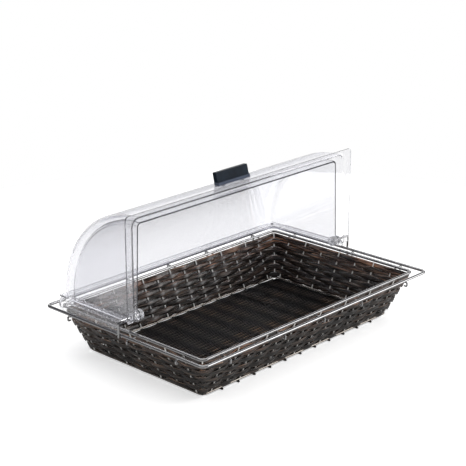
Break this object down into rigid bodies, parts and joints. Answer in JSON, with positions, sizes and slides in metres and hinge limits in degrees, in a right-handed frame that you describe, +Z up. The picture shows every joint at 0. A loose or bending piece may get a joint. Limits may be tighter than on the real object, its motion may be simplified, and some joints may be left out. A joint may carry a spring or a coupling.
{
  "type": "countertop bread display bin",
  "caption": "Long woven basket on a chromed wire frame, half covered by a fixed clear shell, with a clear roll-top front shell that turns back over it on two end pins.",
  "frame": {"origin": "on the counter, under the middle of the whole object", "axes": "+X along the length and the pivot axis, -Y the serving side that the front shell opens, +Z up"},
  "size_m": [0.5732, 0.3694, 0.2909],
  "materials": {
    "chromed_wire": "bright chromed steel wire",
    "woven_strip": "glossy dark brown plastic strip",
    "floor_rod": "dark brown plastic-coated rod",
    "floor_strip": "satin dark brown plastic strip",
    "clear_shell": "clear polished moulded plastic",
    "clear_fitting": "clear moulded plastic",
    "handle_plastic": "gloss navy black plastic",
    "screw_steel": "plain steel"
  },
  "bodies": {
    "basket": {"base_rod": "chromed_wire", "corner_ribs": "chromed_wire", "floor_cross_rods": "floor_rod", "floor_mat": "floor_strip", "long_wall_ribs": "chromed_wire", "loop_ties": "chromed_wire", "outer_rod": "chromed_wire", "pivot_bracket_left": "chromed_wire", "pivot_bracket_right": "chromed_wire", "pivot_cap_left": "clear_fitting", "pivot_cap_right": "clear_fitting", "pivot_spacer_left": "clear_fitting", "pivot_spacer_right": "clear_fitting", "rear_shell": "clear_shell", "rim_rod": "chromed_wire", "short_wall_ribs": "chromed_wire", "weave_row_01": "woven_strip", "weave_row_02": "woven_strip", "weave_row_03": "woven_strip", "weave_row_04": "woven_strip", "weave_row_05": "woven_strip", "weave_row_06": "woven_strip", "weave_row_07": "woven_strip", "weave_row_08": "woven_strip", "weave_row_09": "woven_strip", "weave_row_10": "woven_strip"},
    "front_cover": {"front_shell": "clear_shell", "handle": "handle_plastic", "handle_screws": "screw_steel"}
  },
  "joints": [
    {"name": "cover_turn", "type": "hinge", "parent": "basket", "child": "front_cover", "pos_m": [0, 0, 0.1065], "axis": [1, 0, 0], "range_deg": [0, 93.2]}
  ]
}
